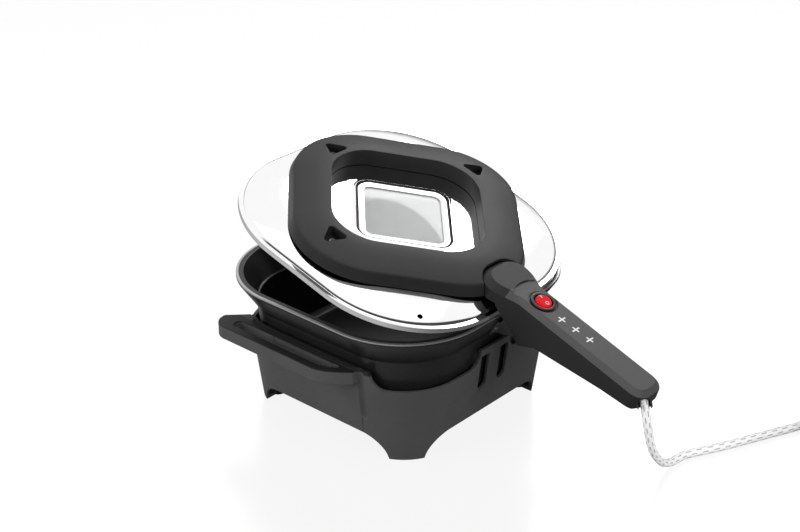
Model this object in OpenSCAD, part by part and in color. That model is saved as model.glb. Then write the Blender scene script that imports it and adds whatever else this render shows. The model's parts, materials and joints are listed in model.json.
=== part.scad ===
// Electric baking pan: a square pan in a moulded stand, under a heating lid that tips on a hinge
// at its handle. Millimetres. The origin is the middle of the stand, on the table. +X points along
// the handle and +Z points up. The lid is drawn flat in its own frame and then tipped open.

/* [Stand] */
// Half width of the stand at the table
stand_half = 105; // [100:1:110]
// Corner radius of the stand at the table
stand_corner_r = 49; // [44:1:54]
// How far the walls lean out from the table to the top of the side walls
stand_lean = 12; // [9:0.5:14]
// Height of the side walls
stand_h = 93; // [89:1:95]
// Wall thickness of the stand
stand_wall = 3.5; // [3:0.1:4]
// Height of the wall tops at the dipped corners
dip_z = 76.5; // [70:0.5:80]
// Radius where a wall block drops into a dip
dip_r = 13; // [8:1:14]
// Where the side walls end towards the handle
side_block_front = 68; // [60:1:72]
// Where the side walls end at the back
side_block_back = -84; // [-92:1:-78]
// Half width of the wall block under the handle
front_block_half = 21; // [20:1:24]
// Height of the arch under each wall
arch_h = 22.7; // [18:0.1:26]
// Half width of each arch at the table
arch_half = 77.5; // [72:0.5:80]
// Radius of the arch ends
arch_r = 24; // [18:1:28]
// Height of the shelf that carries the pan
pan_seat_z = 42; // [38:1:46]
// Thickness of the shelf
shelf_t = 3.5; // [3:0.5:5]
// Half width of the opening in the shelf
shelf_open_half = 84; // [78:1:90]

/* [Grips] */
// How far a grip stands out from the middle of the stand
grip_out = 138; // [132:1:142]
// Back end of a grip
grip_back = -107; // [-110:1:-103]
// Where the outer edge of a grip starts to bend in
grip_bend = 20; // [14:1:24]
// Where a grip runs out into the wall
grip_front = 58; // [55:1:60]
// Top of a grip
grip_top = 89.5; // [86:0.5:92]
// Thickness of a grip
grip_t = 13; // [10:0.5:16]
// Corner radius of a grip
grip_corner_r = 15; // [10:1:18]
// Width of the finger slot
slot_w = 11; // [10:0.5:12]
// Bar left outside the finger slot
slot_bar = 8; // [6:0.5:10]
// Number of ribs along the inner side of the slot
slot_ribs = 3; // [2:1:4]
// Radius of a slot rib
rib_r = 0.6; // [0.5:0.1:0.8]
// Radius of the grooves in the side walls
groove_r = 5; // [4:0.5:5.5]
// Depth of the grooves in the side walls
groove_depth = 2.4; // [1.6:0.1:2.5]
// Half width of the slots under the handle
front_slot_half = 5.5; // [4.5:0.5:6]
// Place of the groove in each side wall
side_groove_x = 58; // [54:1:60]
// Half distance between the slots under the handle
front_groove_y = 13.5; // [11:0.5:14]
// Bottom of the grooves in the side walls
side_groove_z = 43; // [36:1:50]
// Bottom of the slots under the handle
front_groove_z = 49.5; // [47:0.5:56]

/* [Feet] */
// Height of the walls above the table
foot_lift = 1; // [0.5:0.1:2]
// Radius of a rubber foot
pad_r = 7; // [5:0.5:8]
// Thickness of a rubber foot
pad_t = 3; // [2.5:0.5:4]
// Thickness of the plate that holds a rubber foot
foot_plate_t = 4; // [3.5:0.5:6]

/* [Pan] */
// Gap between the pan and the stand
pan_gap = 2.5; // [1.5:0.1:3.5]
// Height of the pan
pan_h = 88.6; // [84:0.2:94]
// Height of the sloping band under the rim
band_h = 27.6; // [24:0.2:30]
// How far the band leans out to the rim
band_out = 17.7; // [15:0.1:20]
// Step under the band
band_step = 1.2; // [0.6:0.1:2]
// Thickness of the flat rim
rim_t = 3; // [2:0.2:4]
// Width of the flat rim
rim_w = 7; // [6:0.2:8]
// Corner radius of the rim
pan_corner_r = 82; // [76:1:90]
// Wall thickness of the pan
pan_wall = 3; // [2.5:0.1:4]
// Floor thickness of the pan
pan_floor = 4; // [3:0.2:6]
// Radius of the bottom edge of the pan
pan_edge_r = 12; // [8:1:16]
// Step of the ledge inside the pan
inner_ledge = 2; // [1:0.2:3]

/* [Lid] */
// How far the lid is tipped open
lid_tilt = 16.3; // [0:0.1:35]
// How far the lid stands out past the rim of the pan
lid_overhang = 5.2; // [4:0.1:7]
// Corner radius of the lid
lid_corner_r = 100.5; // [90:0.5:110]
// Depth of the skirt under the edge of the lid
skirt_h = 5; // [4.6:0.1:7]
// Sheet thickness of the lid
sheet = 1.2; // [0.8:0.1:1.4]
// Height of the dome over the edge of the lid
dome_h = 8; // [7.6:0.1:9]
// Width of the flat edge around the dome
edge_w = 4; // [3:0.5:6]
// Gap between the closed lid and the pan
seat_gap = 0.3; // [0.2:0.1:0.6]
// Half width of the window glass
glass_half = 38; // [34:0.5:42]
// Thickness of the window glass
glass_t = 2.8; // [2:0.2:3]
// Corner radius of the window glass
glass_corner_r = 9; // [7:1:12]
// Width of the window frame
frame_w = 6; // [5.5:0.5:7]
// Height of the hem around the window
hem_h = 1.2; // [0.8:0.1:1.6]
// Radius of the steam hole
steam_r = 2.5; // [1.5:0.1:3]

/* [Heater] */
// Radius of the heating loop
element_loop_r = 78; // [72:1:82]
// Radius of the heating tube
element_r = 3.2; // [2.8:0.1:3.5]
// Angle between +X and each end of the heating tube
element_gap_deg = 6; // [5:1:10]
// Wall of the clips that hold the heating tube
clip_wall = 1; // [0.8:0.1:1.4]
// Length of a clip along the tube
clip_len = 6; // [4:1:10]

/* [Handle ring] */
// Half width of the ring at its foot
ring_foot_half = 108; // [104:0.5:110]
// Half width of the ring at its shoulder
ring_shoulder_half = 105; // [101:0.5:107]
// Corner radius of the ring at its foot
ring_foot_r = 73; // [66:1:80]
// Height of the shoulder over the edge of the lid
ring_shoulder_w = 18.6; // [17.6:0.1:19.6]
// Half width of the opening in the ring
ring_open_half = 69.5; // [66:0.5:71]
// Corner radius of the opening in the ring
ring_open_r = 42; // [38:1:46]
// How far the ring's outer form is set towards the handle
ring_shift = 2.8; // [1:0.2:3.6]
// Height of the ring's top over the edge of the lid
ring_top_w = 25; // [24:0.1:26]
// Wall thickness of the ring
ring_wall = 2.4; // [2:0.1:3]
// Distance of the screw pockets from the middle of the lid
pocket_d = 95.5; // [95:0.5:97]
// Reach of a screw pocket's corners from its middle
pocket_size = 10.8; // [10.4:0.1:11.2]
// Height of the pocket floors over the edge of the lid
pocket_floor_w = 15; // [14:0.5:16]

/* [Handle] */
// Distance of the hinge pin from the edge of the lid
hinge_out = 9.8; // [9.4:0.1:10.4]
// Height of the hinge pin over the edge of the lid
hinge_w = 7.5; // [7:0.1:8]
// Radius of the hinge pin
pin_r = 3; // [2.5:0.1:3.2]
// Length of the hinge pin
pin_len = 30; // [26:1:31]
// Running clearance of the hinge pin
pin_clear = 0.05; // [0.02:0.01:0.1]
// Distance of the handle's end from the edge of the lid
handle_reach = 153; // [145:1:165]
// Half width of the handle
handle_half = 18; // [17:0.5:20]
// Half width of the handle's root on the ring
root_half = 26; // [24:0.5:28]
// Corner radius of the handle's end
handle_end_r = 13; // [10:0.5:16]
// Slope of the handle's top against the lid
handle_droop = 3.2; // [2:0.1:4]
// Height of the seam between the two handle shells, at the hinge
split_w = 17.3; // [17:0.1:18]
// Width of the chamfer along the handle's top
chamfer_w = 5; // [3:0.5:6]
// Height of the chamfer along the handle's top
chamfer_h = 4.5; // [4:0.1:5.5]
// How far the tongue on the ring stands over the handle's top
tongue_rise = 1.4; // [0.6:0.1:2]
// Depth of the handle's root below the edge of the lid
root_depth = 22; // [18:0.5:24]
// Wall thickness of the handle
handle_wall = 2.6; // [2.2:0.1:3.2]
// Opening angle of the lid past the place where it is drawn
lid_open_more = 24; // [10:1:26]

/* [Switch] */
// Distance of the switch from the hinge pin
switch_out = 18; // [17.5:0.1:20]
// Radius of the switch bezel
bezel_r = 11.65; // [11:0.05:12]
// Radius of the hole for the switch
switch_hole_r = 10; // [9.8:0.1:10.4]
// Radius of the rocker
rocker_r = 8.4; // [8:0.1:8.6]
// Tilt of the rocker when the switch is off
rocker_tilt = 10; // [6:1:12]
// Radius of the rocker's axle
axle_r = 1.2; // [1:0.1:1.4]

/* [Cord] */
// Diameter of the cord
cord_d = 7.6; // [7:0.1:8]
// Half turns of cord in each layer of the coil
coil_half_turns = 3; // [3:2:5]
// Radius of the outer turn of the coil
coil_r = 50; // [46:1:54]
// Distance between the turns of a layer
coil_pitch = 9.2; // [9.2:0.1:10]
// Distance between the layers
coil_layer = 8.6; // [8.6:0.1:9.4]
// Radius of the plug's face
plug_r = 18.5; // [17:0.5:20]
// Length of the plug's body
plug_len = 40; // [34:1:46]

/* [Hidden] */
$fn = 96;

// Small clearances and helper sizes
fit_gap = 0.3;
cut = 1;
far = 400;

// Stand and pan
stand_c = stand_half - stand_corner_r;
rim_z = pan_seat_z + pan_h;
band_z = rim_z - band_h;
function stand_r(z) = stand_corner_r + stand_lean * z / stand_h;
function pan_body_half(z) = stand_c + stand_r(z) - stand_wall - pan_gap;
band_in = pan_body_half(band_z);
pan_half = band_in + band_out;
pan_c = pan_half - pan_corner_r;
lean_angle = atan(stand_lean / stand_h);

// Lid, in its own frame: w = 0 is the plane of its flat edge
lid_half = pan_half + lid_overhang;
lid_c = lid_half - lid_corner_r;
lid_z = rim_z + seat_gap + skirt_h;
hinge_x = lid_half + hinge_out;
hinge_z = lid_z + hinge_w;
reflector_t = 0.8;
reflector_w = 2.2;
flange_in_r = lid_corner_r - 16.5;
window_bed_w = reflector_w + reflector_t;
seal_lip = 0.6;
seal_half = glass_half + 6.1;
seal_overlap = 1.6;
glass_w = window_bed_w + seal_lip;
frame_lip_w = glass_w + glass_t + seal_lip;
window_c = glass_half - glass_corner_r;

// Ring and handle
ring_c = ring_foot_half - ring_foot_r;
ring_foot_w = dome_h + fit_gap;
ring_tip = ring_c * sqrt(2) + ring_foot_r;
tongue_x = ring_tip - 18.5;
switch_x = hinge_x + switch_out;
handle_end = lid_half + handle_reach;
bracket_half = 6.4;
slot_half = bracket_half + 0.5;
prong_half = 6;
prong_top = 5;
hinge_room = 8.3;
open_angle = lid_tilt + lid_open_more;
function seam_w(x) = split_w - tan(handle_droop) * (x - hinge_x);
root_tip = [hinge_x + 16.7, -root_depth];
heel = [hinge_x + 33, 9 - root_depth];
belly = [hinge_x + 105, -5.5];
tail = [handle_end - 7, -4];
function between(a, b, x) = a[1] + (b[1] - a[1]) * (x - a[0]) / (b[0] - a[0]);
function handle_floor_w(x) = (x < belly[0] ? between(heel, belly, x) : between(belly, tail, x))
    + handle_wall;
screw_x = [hinge_x + 39, hinge_x + 95];
boss_r = 4;
screw_r = 1.5;
screw_head_r = 3.2;

// Switch
rocker_w = seam_w(switch_x) + 1.4;
rocker_clear = 0.3;
well_depth = 5.6;
housing_half = [7.2, 6];
housing_bottom_w = rocker_w - well_depth - 2;

// Cord: the gland points down out of the handle's end
gland_angle = 60;
gland_len = 11;
gland_r = 6.2;
gland_mouth = [handle_end - 4.7, 0, -4];
gland_dir = [cos(gland_angle), 0, -sin(gland_angle)];
function to_world(p) = [
    hinge_x + (p[0] - hinge_x) * cos(lid_tilt) + (p[2] - hinge_w) * sin(lid_tilt),
    p[1],
    hinge_z - (p[0] - hinge_x) * sin(lid_tilt) + (p[2] - hinge_w) * cos(lid_tilt)
];
drop_route = [
    to_world(gland_mouth - gland_dir * gland_len), to_world(gland_mouth),
    [277, 1, 81], [277.5, 4.5, 67], [277, 10, 52], [275.5, 19, 36.5], [273.5, 31, 22.5],
    [272, 43, 12], [271, 55, 6], [271, 66, 4]
];
lead_route = [
    [271, 66, 4], [272.5, 76, 4], [277, 86, 4], [284, 99, 4], [292, 115, 4],
    [301.2, 135.5, 4], [310.4, 156, 4], [319.6, 176.5, 4], [328.8, 197, 4.5], [338, 217.5, 5.2]
];
coil_z = 5.4;
coil_entry_dir = [0.4, 0.9165, 0];
coil_in = lead_route[len(lead_route) - 1];
coil_first = [coil_in[0], coil_in[1], coil_z] + coil_entry_dir * cord_d;
coil_centre = coil_first + [coil_entry_dir[1], -coil_entry_dir[0], 0] * coil_r;
coil_start_deg = atan2(coil_first[1] - coil_centre[1], coil_first[0] - coil_centre[0]);
layer_turns = coil_half_turns / 2;
coil_turns = 2 * layer_turns + 0.5;
plug_axis_z = plug_r + 0.2;
rise_turns = 0.22;
function coil_radius(t) = t < layer_turns ? coil_r - coil_pitch * t
    : t < layer_turns + 0.5 ? coil_r - coil_pitch * layer_turns
    : coil_r - coil_pitch * (coil_turns - t);
function coil_height(t) = coil_z + (t < layer_turns ? 0
    : t < layer_turns + 0.5 ? coil_layer * 2 * (t - layer_turns)
    : coil_layer + (plug_axis_z - coil_z - coil_layer)
        * max(0, (t - coil_turns + rise_turns) / rise_turns));
function coil_point(t) = let (a = coil_start_deg - 360 * t) [
    coil_centre[0] + coil_radius(t) * cos(a), coil_centre[1] + coil_radius(t) * sin(a),
    coil_height(t)
];
coil_steps = 24 * coil_turns;
coil_end_deg = coil_start_deg - 360 * coil_turns;
coil_exit_dir = [sin(coil_end_deg), -cos(coil_end_deg), 0];
coil_last = coil_point(coil_turns);
plug_at = coil_last + coil_exit_dir * cord_d;
coil_route = concat(
    [[coil_in[0], coil_in[1], coil_z]],
    [for (i = [0:coil_steps]) coil_point(i / 24)],
    [plug_at]
);
third_turn = 8;
coil_gap = min([
    for (i = [0:len(coil_route) - 1])
        for (j = [i + third_turn:1:len(coil_route) - 1]) norm(coil_route[i] - coil_route[j])
]) - cord_d;
echo(coil_gap = coil_gap);

// Colours
charcoal = [0.2, 0.2, 0.21];
deep_black = [0.06, 0.06, 0.06];
steel = [0.82, 0.83, 0.84];
dark_steel = [0.4, 0.4, 0.42];
brass = [0.72, 0.58, 0.28];

// An arc as points, from angle a0 to a1
function arc(cx, cy, r, a0, a1, n = 8) = [
    for (i = [0:n]) let (a = a0 + (a1 - a0) * i / n) [cx + r * cos(a), cy + r * sin(a)]
];

// Carries a wall section around a rounded square whose corner centres lie at (+-c, +-c)
module around(c) {
    for (k = [0:3]) rotate(90 * k) {
        translate([c, c, 0]) rotate_extrude(angle = 90) children();
        translate([c, c, 0]) rotate([90, 0, 0]) linear_extrude(2 * c) children();
    }
}

// The same, with the middle closed between two heights
module around_filled(c, z0, z1) {
    around(c) children();
    translate([-c, -c, z0]) cube([2 * c, 2 * c, z1 - z0]);
}

// A square with round corners
module soft_square(half, r) {
    square([2 * half, 2 * (half - r)], center = true);
    square([2 * (half - r), 2 * half], center = true);
    for (x = [-1, 1], y = [-1, 1]) translate([x * (half - r), y * (half - r)]) circle(r);
}

// A slab cut from a side view: the children are drawn in X and Z, and y0 to y1 is its width
module side_slab(y0, y1) {
    translate([0, y1, 0]) rotate([90, 0, 0]) linear_extrude(y1 - y0) children();
}

// A round rod between two points
module rod(p, q, r) {
    d = q - p;
    translate(p) rotate([0, acos(d[2] / norm(d)), atan2(d[1], d[0])]) cylinder(r = r, h = norm(d));
}

// Moves what is drawn in the lid's own frame to its place over the pan
module on_lid() {
    translate([hinge_x, 0, hinge_z]) rotate([0, lid_tilt, 0]) translate([-hinge_x, 0, -hinge_w])
        children();
}

// A tube of flat faces along a route, with its two end faces square to the given directions
function unit(v) = v / norm(v);
function route_dir(route, i, first, last) = i == 0 ? unit(first)
    : i == len(route) - 1 ? unit(last)
    : unit(unit(route[i] - route[i - 1]) + unit(route[i + 1] - route[i]));
module tube(route, r, sides, first, last, aside) {
    points = [
        for (i = [0:len(route) - 1])
            let (t = route_dir(route, i, first, last), a = unit(cross(t, aside)), b = cross(t, a))
                for (k = [0:sides - 1]) route[i] + r * (a * cos(360 * k / sides) + b * sin(360 * k / sides))
    ];
    rings = len(route);
    sides_faces = [
        for (i = [0:rings - 2], k = [0:sides - 1])
            let (p = i * sides + k, q = i * sides + (k + 1) % sides)
                each [[p, p + sides, q + sides], [p, q + sides, q]]
    ];
    ends = [
        for (k = [1:sides - 2])
            each [[0, k, k + 1], [0, k + 1, k] + (rings - 1) * sides * [1, 1, 1]]
    ];
    polyhedron(points, concat(sides_faces, ends));
}

// Stand: four leaning walls on arched feet, with dipped corners, two grips and a shelf
module stand_walls(z0, z1) {
    around(stand_c) polygon([
        [stand_r(z0), z0], [stand_r(z1), z1],
        [stand_r(z1) - stand_wall, z1], [stand_r(z0) - stand_wall, z0]
    ]);
}

module stand_inside(wall = stand_wall) {
    z1 = stand_h + cut;
    around_filled(stand_c, 0, z1) polygon([
        [0, 0], [stand_r(0) - wall, 0], [stand_r(z1) - wall, z1], [0, z1]
    ]);
}

// Side view of a wall block that drops into the dips with a round at each end
module block_view(a, b, round_a = true) {
    translate([a, dip_z]) square([b - a, stand_h - dip_z]);
    for (side = round_a ? [0, 1] : [1]) translate([side == 0 ? a : b, dip_z]) mirror([1 - side, 0])
        difference() {
            square(dip_r);
            translate([dip_r, dip_r]) circle(dip_r);
        }
}

module arch_view() {
    inner = arch_half - arch_r;
    translate([-inner, -cut]) square([2 * inner, arch_h + cut]);
    for (x = [-inner, inner]) translate([x, arch_h - arch_r]) circle(arch_r);
}

// One grip with its finger slot, on the -Y side: its outer edge bends in and runs out into the wall
grip_chamfer = 22;
grip_root_y = stand_half - 6;
grip_wall = stand_c + stand_r(grip_top - grip_t) - 0.4;
module grip_view() {
    edge_y = -grip_out + grip_corner_r;
    polygon(concat(
        [[grip_back + grip_chamfer, -grip_root_y], [grip_back, edge_y + 2]],
        arc(grip_back + grip_corner_r, edge_y, grip_corner_r, 180, 270),
        [for (t = [0:0.125:1]) [
            grip_bend + t * (grip_front - grip_bend), -grip_out + (grip_out - grip_wall) * pow(t, 1.7)
        ]],
        [[grip_front, -grip_root_y]]
    ));
}

module grip() {
    near = -grip_out + slot_bar;
    slot_far = near + slot_w;
    slot_back = grip_back + 18;
    translate([0, 0, grip_top - grip_t]) linear_extrude(grip_t) difference() {
        grip_view();
        polygon(concat(
            [[grip_bend + 16, slot_far]],
            arc(slot_back + slot_w / 2, slot_far - slot_w / 2, slot_w / 2, 90, 270),
            [[grip_bend - 6, near], [grip_bend + 3, near + 0.06 * slot_w]],
            [[grip_bend + 10.5, near + 0.25 * slot_w], [grip_bend + 15.5, near + 0.5 * slot_w]],
            [[grip_bend + 17.5, slot_far - 0.25 * slot_w]]
        ));
    }
    for (i = [0:slot_ribs - 1]) translate([grip_bend - 65, slot_far, grip_top - 1.4 - 2.2 * i])
        rotate([0, 90, 0]) cylinder(r = rib_r, h = 73, $fn = 24);
}

// A groove with a round bottom, drawn on the +X wall
module wall_groove(z0) {
    rotate([0, lean_angle, 0]) translate([groove_r - groove_depth, 0, z0 / cos(lean_angle)]) {
        cylinder(r = groove_r, h = stand_h, $fn = 48);
        sphere(groove_r, $fn = 48);
    }
}

// A slot through the +X wall, with a round bottom and a bridge left over it
module wall_slot(z0) {
    depth = 4 * stand_wall;
    top = stand_h - 7;
    rotate([0, lean_angle, 0]) translate([-depth / 2, 0, z0 + front_slot_half]) {
        rotate([0, 90, 0]) cylinder(r = front_slot_half, h = depth);
        translate([0, -front_slot_half, 0]) cube([depth, 2 * front_slot_half, top - z0 - front_slot_half]);
    }
}

module stand_frame() {
    color(charcoal) difference() {
        union() {
            stand_walls(foot_lift, dip_z);
            intersection() {
                stand_walls(dip_z, stand_h);
                union() {
                    for (side = [-1, 1]) translate([0, side * far / 2 + side * stand_c, 0])
                        side_slab(-far / 2, far / 2) block_view(side_block_back, side_block_front, false);
                    translate([stand_c, 0, 0]) rotate(90) side_slab(-far, 0)
                        block_view(-front_block_half, front_block_half);
                }
            }
            for (side = [0, 1]) mirror([0, side, 0]) difference() {
                grip();
                stand_inside(stand_wall / 2);
            }
            around(stand_c) polygon([
                [shelf_open_half - stand_c, pan_seat_z - shelf_t],
                [stand_r(pan_seat_z - shelf_t) - stand_wall / 2, pan_seat_z - shelf_t],
                [stand_r(pan_seat_z) - stand_wall / 2, pan_seat_z],
                [shelf_open_half - stand_c, pan_seat_z]
            ]);
            for (k = [0:3]) rotate(90 * k) translate([0, 0, foot_lift]) linear_extrude(foot_plate_t)
                intersection() {
                    translate([stand_c, stand_c]) circle(stand_corner_r - stand_wall / 2);
                    translate([foot_plate_at, foot_plate_at]) square(stand_half);
                }
        }
        for (a = [0, 90]) rotate(a) side_slab(-far / 2, far / 2) arch_view();
        for (y = [-front_groove_y, front_groove_y]) translate([stand_half, y, 0])
            wall_slot(front_groove_z);
        for (side = [-1, 1]) translate([side_groove_x, side * stand_half, 0]) rotate(side * 90)
            wall_groove(side_groove_z);
        for (k = [0:3]) rotate(90 * k) translate([pad_at, pad_at, 0])
            cylinder(r = pad_r + pad_clear, h = pad_t);
    }
}

pad_clear = 0.1;
foot_plate_at = arch_half - 6;
pad_at = stand_c + (stand_corner_r - stand_wall - pad_r - 3) / sqrt(2);

module foot_pads() {
    color(deep_black) for (k = [0:3]) rotate(90 * k) translate([pad_at, pad_at, 0])
        cylinder(r = pad_r, h = pad_t);
}

// Pan: a cast bowl with a sloping band and a flat rim
module pan_body() {
    seat = pan_seat_z + fit_gap / 2;
    foot_r = pan_body_half(seat + pan_edge_r) - pan_c;
    in_r = pan_edge_r - pan_wall;
    color(deep_black) around_filled(pan_c, seat, seat + pan_floor) polygon(concat(
        [[0, seat]],
        arc(foot_r - pan_edge_r, seat + pan_edge_r, pan_edge_r, -90, 0),
        [
            [band_in - pan_c, band_z], [band_in - pan_c + band_step, band_z],
            [pan_half - pan_c, rim_z - rim_t], [pan_half - pan_c, rim_z],
            [pan_half - pan_c - rim_w, rim_z],
            [band_in - pan_c + band_step - pan_wall, band_z + pan_wall],
            [band_in - pan_c - inner_ledge - pan_wall + band_step, band_z + pan_wall - 1],
            [foot_r - pan_wall - band_step, seat + pan_edge_r + pan_floor - pan_wall]
        ],
        arc(foot_r - pan_wall - band_step - in_r, seat + pan_floor + in_r, in_r, 0, -90),
        [[0, seat + pan_floor]]
    ));
}

// Bracket on the pan's front wall: a plate with an arm, and an open fork that takes the hinge pin
band_slope = band_out - band_step;
band_angle = atan2(band_slope, band_h - rim_t);
function band_x(z) = band_in + band_step + band_slope * (z - band_z) / (band_h - rim_t);
bracket_low_z = band_z + 3;
bracket_high_z = rim_z - rim_t - 3;
arm_t = 13;
plate_half = [9, 12.5];
plate_t = 2.2;
module on_band() {
    z = (bracket_low_z + bracket_high_z) / 2;
    translate([band_x(z), 0, z]) rotate([0, 90 + band_angle, 0]) children();
}

module hinge_bracket() {
    stem = [hinge_x - prong_half, hinge_x + prong_half];
    color(dark_steel) difference() {
        union() {
            side_slab(-bracket_half, bracket_half) polygon([
                [band_x(bracket_low_z), bracket_low_z], [band_x(bracket_high_z), bracket_high_z],
                [stem[0] - 2, bracket_high_z], [stem[0], bracket_high_z + 3],
                [stem[0], hinge_z + prong_top - 2], [stem[0] + 1.2, hinge_z + prong_top],
                [stem[1] - 1.2, hinge_z + prong_top], [stem[1], hinge_z + prong_top - 2],
                [stem[1], bracket_high_z - arm_t + 9], [stem[1] - 6, bracket_high_z - arm_t + 1],
                [stem[0], bracket_high_z - arm_t - 2]
            ]);
            on_band() translate([-plate_half[0], -plate_half[1], 0])
                cube([2 * plate_half[0], 2 * plate_half[1], plate_t]);
        }
        side_slab(-bracket_half - cut, bracket_half + cut) translate([hinge_x, hinge_z]) union() {
            circle(pin_r + pin_clear);
            translate([-pin_r - pin_clear, 0]) square([2 * (pin_r + pin_clear), prong_top + cut]);
        }
        at_rivets() translate([0, 0, -cut]) cylinder(r = rivet_hole_r, h = plate_t + 2 * cut, $fn = 32);
    }
}

rivet_r = 1.4;
rivet_hole_r = 1.5;
rivet_head_r = 2.4;
rivet_y = 9.4;
module at_rivets() {
    on_band() for (side = [-1, 1]) translate([0, side * rivet_y, 0]) children();
}

module bracket_rivets() {
    color(steel) at_rivets() {
        cylinder(r = rivet_r, h = plate_t, $fn = 32);
        translate([0, 0, plate_t]) cylinder(r1 = rivet_head_r, r2 = rivet_head_r * 0.6, h = 1.3, $fn = 32);
    }
}

module hinge_pin() {
    color(steel) translate([hinge_x, pin_len / 2, hinge_z]) rotate([90, 0, 0])
        cylinder(r = pin_r, h = pin_len);
}

// Lid: a pressed dome, a rim that stands on the pan and a reflector with the heating loop
function dome_top() = let (r = lid_corner_r - edge_w) [
    [r, 0], [r - 0.9, 1.4], [r - 2.2, 2.4], [r - 5, 3.5], [r - 12, 5.1], [r - 20, 6.6],
    [r - 27, 7.4], [r - 34, dome_h], [0, dome_h]
];
module lid_shell() {
    top = dome_top();
    count = len(top) - 1;
    hem_r = glass_corner_r + seal_half - glass_half;
    color(steel) on_lid() difference() {
        union() {
            around_filled(lid_c, dome_h - sheet, dome_h) polygon(concat(
                [[lid_corner_r, -sheet], [lid_corner_r, 0]], top,
                [for (i = [0:count]) top[count - i] - [0, sheet]]
            ));
            rotate(45) around(window_c) polygon([
                [hem_r - 1, dome_h - sheet / 2], [hem_r + 3.6, dome_h - sheet / 2], [hem_r + 3.6, dome_h],
                [hem_r + 0.8, dome_h + hem_h], [hem_r - 1, dome_h + hem_h]
            ]);
        }
        rotate(45) translate([0, 0, -cut]) linear_extrude(dome_h + 4)
            soft_square(seal_half + fit_gap, hem_r);
        translate([lid_c, -lid_c, 0]) rotate(-39) translate([lid_corner_r - edge_w - 7, 0, 0])
            cylinder(r = steam_r, h = dome_h);
    }
}

module lid_rim() {
    color(steel) on_lid() around(lid_c) polygon([
        [flange_in_r, -skirt_h], [lid_corner_r, -skirt_h], [lid_corner_r, -sheet],
        [lid_corner_r - sheet, -sheet], [lid_corner_r - sheet, sheet - skirt_h],
        [flange_in_r, sheet - skirt_h]
    ]);
}

// Legs of the heating tube, which go up through the reflector
module at_element_legs() {
    for (side = [-1, 1]) rotate(side * element_gap_deg) translate([element_loop_r, 0, 0]) children();
}

module inner_reflector() {
    low = sheet - skirt_h;
    color(steel) on_lid() difference() {
        around_filled(lid_c, reflector_w, window_bed_w) polygon([
            [0, reflector_w], [flange_in_r - 7, reflector_w], [flange_in_r - 1, low],
            [lid_corner_r - sheet - 1, low], [lid_corner_r - sheet - 1, low + reflector_t],
            [flange_in_r - 0.4, low + reflector_t], [flange_in_r - 6.4, window_bed_w],
            [0, window_bed_w]
        ]);
        rotate(45) linear_extrude(dome_h)
            soft_square(glass_half - seal_overlap, glass_corner_r - seal_overlap);
        at_element_legs() cylinder(r = element_r + leg_clear, h = dome_h);
    }
}

leg_clear = 0.4;
mat_half = lid_half - 44;
module insulation_mat() {
    color([0.85, 0.84, 0.8]) on_lid() translate([0, 0, window_bed_w])
        linear_extrude(dome_h - sheet - window_bed_w - fit_gap) difference() {
            soft_square(mat_half, mat_half - lid_c);
            rotate(45) soft_square(seal_half + 1, glass_corner_r + 5);
            at_element_legs() circle(element_r + leg_clear);
        }
}

element_w = reflector_w - element_r - clip_wall - 0.1;
module heating_element() {
    color(dark_steel) on_lid() {
        rotate(element_gap_deg) rotate_extrude(angle = 360 - 2 * element_gap_deg)
            translate([element_loop_r, element_w]) circle(element_r, $fn = 32);
        at_element_legs() translate([0, 0, element_w]) {
            sphere(element_r, $fn = 32);
            cylinder(r = element_r, h = dome_h - sheet - 1 - element_w, $fn = 32);
        }
    }
}

module element_clips() {
    color(steel) on_lid() for (a = [45:90:315]) rotate(a) translate([element_loop_r, 0, element_w])
        difference() {
            union() {
                rotate([90, 0, 0]) cylinder(r = element_r + clip_wall, h = clip_len, center = true);
                translate([-element_r - 2, -clip_len / 2, element_r])
                    cube([2 * element_r + 4, clip_len, reflector_w - element_w - element_r]);
            }
            rotate([90, 0, 0]) cylinder(r = element_r + 0.15, h = clip_len + cut, center = true);
        }
}

// Window: a pane in a rubber seal, held between the reflector and a pressed frame
module window_glass() {
    color([0.6, 0.64, 0.66, 0.5]) on_lid() rotate(45) translate([0, 0, glass_w])
        linear_extrude(glass_t) soft_square(glass_half, glass_corner_r);
}

module window_seal() {
    lip_r = glass_corner_r - seal_overlap;
    out_r = glass_corner_r + seal_half - glass_half;
    color(deep_black) on_lid() rotate(45) around(window_c) polygon([
        [lip_r, window_bed_w], [out_r, window_bed_w], [out_r, frame_lip_w], [lip_r, frame_lip_w],
        [lip_r, glass_w + glass_t], [glass_corner_r, glass_w + glass_t],
        [glass_corner_r, glass_w], [lip_r, glass_w]
    ]);
}

module window_frame() {
    in_r = glass_corner_r - seal_overlap - 0.4;
    out_r = in_r + frame_w;
    color(steel) on_lid() rotate(45) around(window_c) polygon([
        [in_r, frame_lip_w], [out_r, frame_lip_w], [out_r, frame_lip_w + 0.8],
        [out_r - 0.4, frame_lip_w + 1.2], [out_r - 2.6, frame_lip_w + 1.2], [in_r, frame_lip_w + 0.5]
    ]);
}

// Over-temperature cut-out, on the lid under the ring
cutout_r = 7;
module thermal_cutout() {
    d = (ring_open_half + ring_shoulder_half) / 2;
    color(deep_black) on_lid() rotate(45) translate([d, 0, dome_h]) {
        cylinder(r = cutout_r, h = 6);
        translate([-2, -cutout_r - 2, 0]) cube([4, 2 * cutout_r + 4, 1.5]);
    }
}

// The three ring corners that hold a screw pocket
module at_pockets() {
    for (a = [90, 180, 270]) rotate(a) translate([pocket_d - (a == 180 ? ring_shift : 0), 0, 0]) children();
}

pocket_floor_t = 2.5;
spacer_top_w = pocket_floor_w - pocket_floor_t;
module ring_spacers() {
    color(steel) on_lid() at_pockets() translate([0, 0, dome_h]) difference() {
        cylinder(r = 4.5, h = spacer_top_w - dome_h);
        cylinder(r = screw_r + 0.1, h = spacer_top_w);
    }
}

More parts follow.
